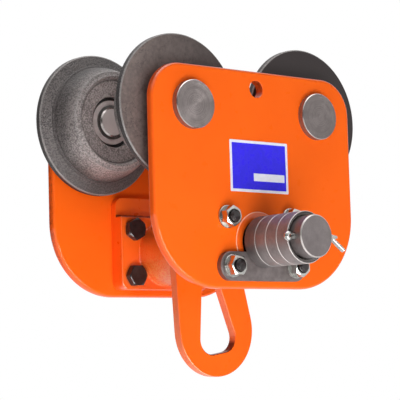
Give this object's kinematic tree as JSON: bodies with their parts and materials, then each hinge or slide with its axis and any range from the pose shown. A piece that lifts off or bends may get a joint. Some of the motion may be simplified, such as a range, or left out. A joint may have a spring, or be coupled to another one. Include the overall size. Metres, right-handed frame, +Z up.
{
  "type": "manual beam trolley",
  "caption": "Push trolley for an I-beam: side plates with flanged wheels, spacer rings on a suspension shaft to set the width, and a swinging hanger eye for a hoist.",
  "frame": {"origin": "midway between the four wheels, at the height of the beam flange under their treads", "axes": "+X along the beam, +Y from the front plate with the spacer rings to the rear plate, +Z up"},
  "size_m": [0.3592, 0.3175, 0.3885],
  "materials": {
    "orange_paint": "glossy orange paint on steel",
    "cast_wheels": "dark cast iron, turned on the flange back and tread",
    "machined_steel": "turned grey steel, lightly oiled",
    "bright_plating": "bright zinc plating",
    "black_bolts": "black oxide",
    "bearing_steel": "ground steel",
    "spring_steel": "phosphated spring steel",
    "seal_rubber": "black nitrile rubber"
  },
  "bodies": {
    "front_side": {"front_side_plate": "orange_paint", "front_shaft_bracket": "orange_paint", "front_bracket_bolts": "black_bolts", "front_bracket_nuts": "bright_plating", "front_bracket_washers": "bright_plating", "keeper_plate": "machined_steel", "suspension_shaft": "machined_steel", "spacer_ring_1": "machined_steel", "spacer_ring_2": "machined_steel", "spacer_ring_3": "machined_steel", "spacer_ring_4": "machined_steel", "split_pin": "bright_plating", "axle_front_left": "machined_steel", "bearing_inner_ring_front_left": "bearing_steel", "bearing_balls_front_left": "bearing_steel", "axle_washer_front_left": "machined_steel", "axle_circlip_front_left": "spring_steel", "axle_front_right": "machined_steel", "bearing_inner_ring_front_right": "bearing_steel", "bearing_balls_front_right": "bearing_steel", "axle_washer_front_right": "machined_steel", "axle_circlip_front_right": "spring_steel"},
    "rear_side": {"rear_side_plate": "orange_paint", "rear_shaft_bracket": "orange_paint", "rear_bracket_bolts": "black_bolts", "rear_bracket_nuts": "bright_plating", "rear_bracket_washers": "bright_plating", "axle_rear_left": "machined_steel", "bearing_inner_ring_rear_left": "bearing_steel", "bearing_balls_rear_left": "bearing_steel", "axle_washer_rear_left": "machined_steel", "axle_circlip_rear_left": "spring_steel", "axle_rear_right": "machined_steel", "bearing_inner_ring_rear_right": "bearing_steel", "bearing_balls_rear_right": "bearing_steel", "axle_washer_rear_right": "machined_steel", "axle_circlip_rear_right": "spring_steel"},
    "hanger": {"hanger": "orange_paint"},
    "wheel_front_left": {"wheel_front_left": "cast_wheels", "bearing_outer_ring_front_left": "bearing_steel", "bearing_seals_front_left": "seal_rubber", "hub_circlip_front_left": "spring_steel"},
    "wheel_front_right": {"wheel_front_right": "cast_wheels", "bearing_outer_ring_front_right": "bearing_steel", "bearing_seals_front_right": "seal_rubber", "hub_circlip_front_right": "spring_steel"},
    "wheel_rear_left": {"wheel_rear_left": "cast_wheels", "bearing_outer_ring_rear_left": "bearing_steel", "bearing_seals_rear_left": "seal_rubber", "hub_circlip_rear_left": "spring_steel"},
    "wheel_rear_right": {"wheel_rear_right": "cast_wheels", "bearing_outer_ring_rear_right": "bearing_steel", "bearing_seals_rear_right": "seal_rubber", "hub_circlip_rear_right": "spring_steel"}
  },
  "joints": [
    {"name": "rear_side_rock", "type": "hinge", "parent": "front_side", "child": "rear_side", "pos_m": [0, 0.091, -0.087], "axis": [0, 1, 0], "range_deg": [-6, 6]},
    {"name": "hanger_swing", "type": "hinge", "parent": "front_side", "child": "hanger", "pos_m": [0, 0, -0.087], "axis": [0, -1, 0], "range_deg": [-98.5, 81.5]},
    {"name": "wheel_front_left_spin", "type": "hinge", "parent": "front_side", "child": "wheel_front_left", "pos_m": [-0.095, -0.0625, 0.065], "axis": [0, 1, 0], "continuous": true},
    {"name": "wheel_front_right_spin", "type": "hinge", "parent": "front_side", "child": "wheel_front_right", "pos_m": [0.095, -0.0625, 0.065], "axis": [0, 1, 0], "continuous": true},
    {"name": "wheel_rear_left_spin", "type": "hinge", "parent": "rear_side", "child": "wheel_rear_left", "pos_m": [-0.095, 0.0625, 0.065], "axis": [0, 1, 0], "continuous": true},
    {"name": "wheel_rear_right_spin", "type": "hinge", "parent": "rear_side", "child": "wheel_rear_right", "pos_m": [0.095, 0.0625, 0.065], "axis": [0, 1, 0], "continuous": true}
  ]
}
